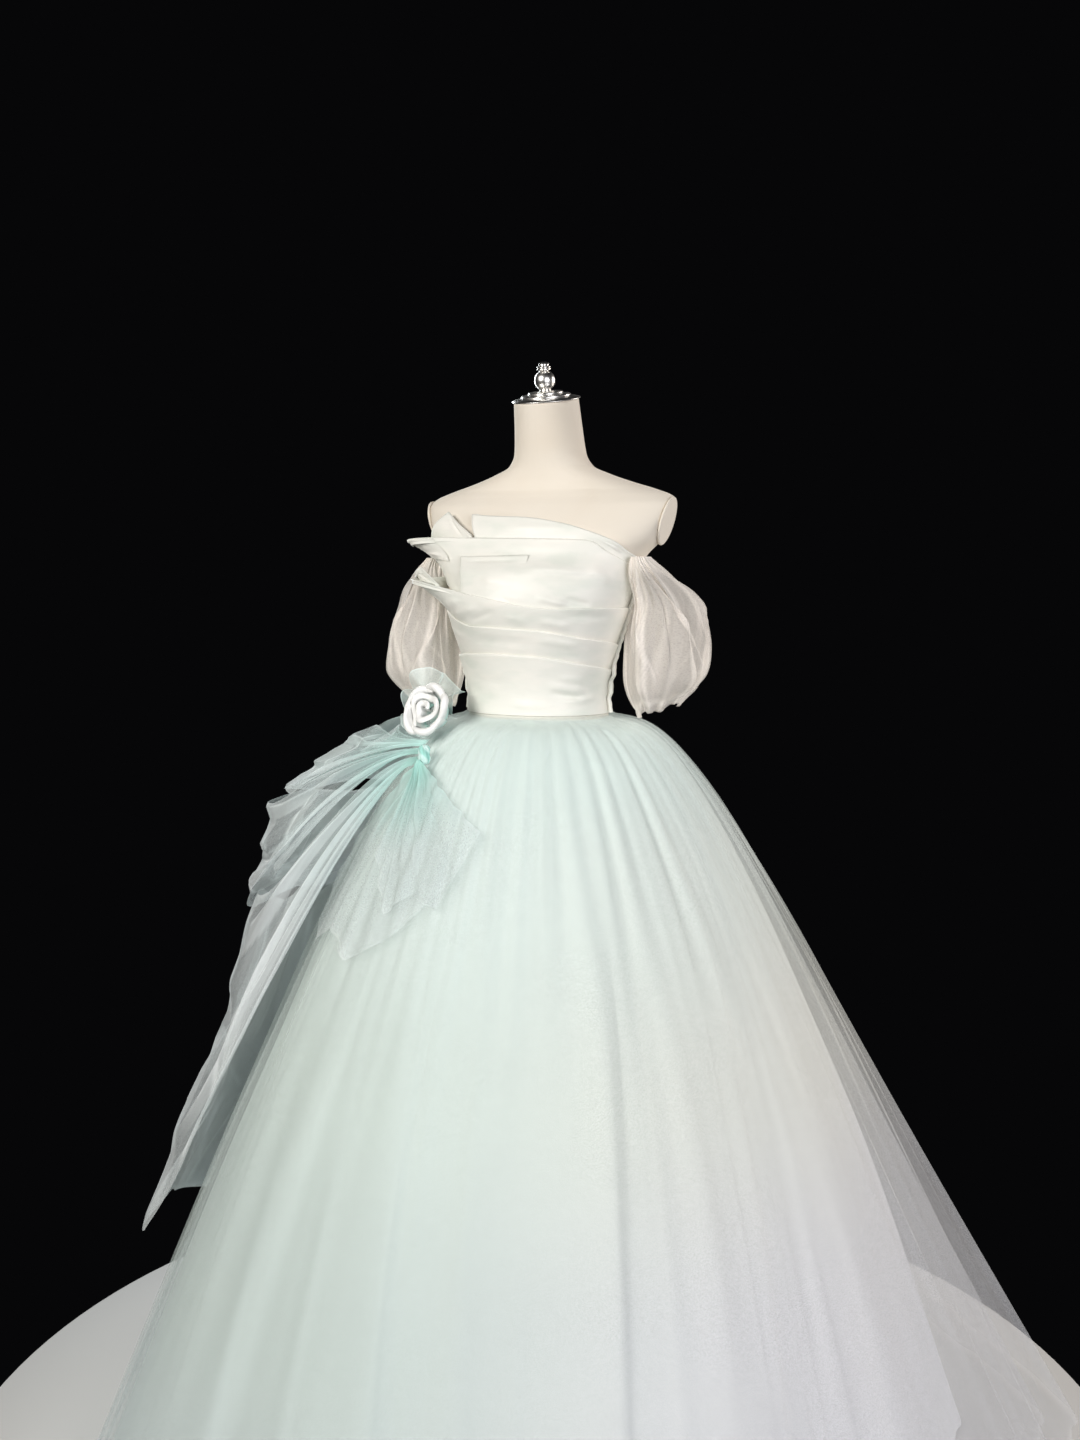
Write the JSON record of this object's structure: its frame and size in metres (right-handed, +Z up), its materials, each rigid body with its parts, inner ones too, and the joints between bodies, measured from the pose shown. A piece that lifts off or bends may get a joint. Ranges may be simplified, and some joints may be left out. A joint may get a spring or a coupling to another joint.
{
  "type": "ball gown on a limbless dress form and stand",
  "caption": "Off-shoulder ball gown with a pleated satin bodice, puff sleeves, layered tulle skirt, side drape and rose, standing on a limbless dress form.",
  "frame": {"origin": "centre of the stand base's underside, on the pole's axis", "axes": "+Z up, the gown faces -Y, the wearer's left is +X"},
  "size_m": [1.5677, 1.6542, 1.7238],
  "materials": {
    "form_cloth": "smooth cream jersey stretched over the bust",
    "form_plate": "satin moulded plate",
    "chrome": "polished",
    "stand_paint": "white powder coat",
    "satin": "duchess satin, soft sheen",
    "sleeve_tulle": "sheer soft tulle",
    "skirt_tulle": "sheer soft tulle, mint to lavender",
    "skirt_lining": "opaque satin underskirt",
    "drape_tulle": "sheer crisp tulle, mint"
  },
  "bodies": {
    "root": {"bodice_back_left": "satin", "bodice_back_right": "satin", "bodice_fold_lower": "satin", "bodice_fold_upper": "satin", "bodice_front_lower": "satin", "bodice_neckline_band": "satin", "bodice_peak": "satin", "bodice_pleat_high": "satin", "bodice_pleat_low": "satin", "bodice_pleat_middle": "satin", "bodice_side_left": "satin", "bodice_side_right": "satin", "bodice_side_welt_left": "satin", "bodice_side_welt_right": "satin", "bodice_tuck": "satin", "drape_cascade": "drape_tulle", "drape_knot": "drape_tulle", "drape_loop_lower": "drape_tulle", "drape_loop_upper": "drape_tulle", "drape_tail_long": "drape_tulle", "drape_tail_short": "drape_tulle", "form_arm_plate_left": "form_plate", "form_arm_plate_right": "form_plate", "form_finial": "chrome", "form_neck_cap": "chrome", "form_torso": "form_cloth", "rose_bud": "satin", "rose_petal_1": "satin", "rose_petal_2": "satin", "rose_petal_3": "satin", "rose_petal_4": "satin", "rose_petal_5": "satin", "rose_ruffle": "drape_tulle", "skirt_middle_back": "skirt_tulle", "skirt_middle_back_left": "skirt_tulle", "skirt_middle_back_right": "skirt_tulle", "skirt_middle_front": "skirt_tulle", "skirt_middle_front_left": "skirt_tulle", "skirt_middle_front_right": "skirt_tulle", "skirt_outer_back": "skirt_tulle", "skirt_outer_back_left": "skirt_tulle", "skirt_outer_back_right": "skirt_tulle", "skirt_outer_front": "skirt_tulle", "skirt_outer_front_left": "skirt_tulle", "skirt_outer_front_right": "skirt_tulle", "skirt_under_back": "skirt_lining", "skirt_under_back_left": "skirt_lining", "skirt_under_back_right": "skirt_lining", "skirt_under_front": "skirt_lining", "skirt_under_front_left": "skirt_lining", "skirt_under_front_right": "skirt_lining", "sleeve_left": "sleeve_tulle", "sleeve_right": "sleeve_tulle", "stand_base": "stand_paint", "stand_pole": "stand_paint", "zip_slider": "chrome"},
    "zip_tab": {"zip_pull_tab": "chrome"}
  },
  "joints": [
    {"name": "zip_tab_hinge", "type": "hinge", "parent": "root", "child": "zip_tab", "pos_m": [0, 0.1227, 1.36], "axis": [1, 0, 0], "range_deg": [0, 150]}
  ]
}
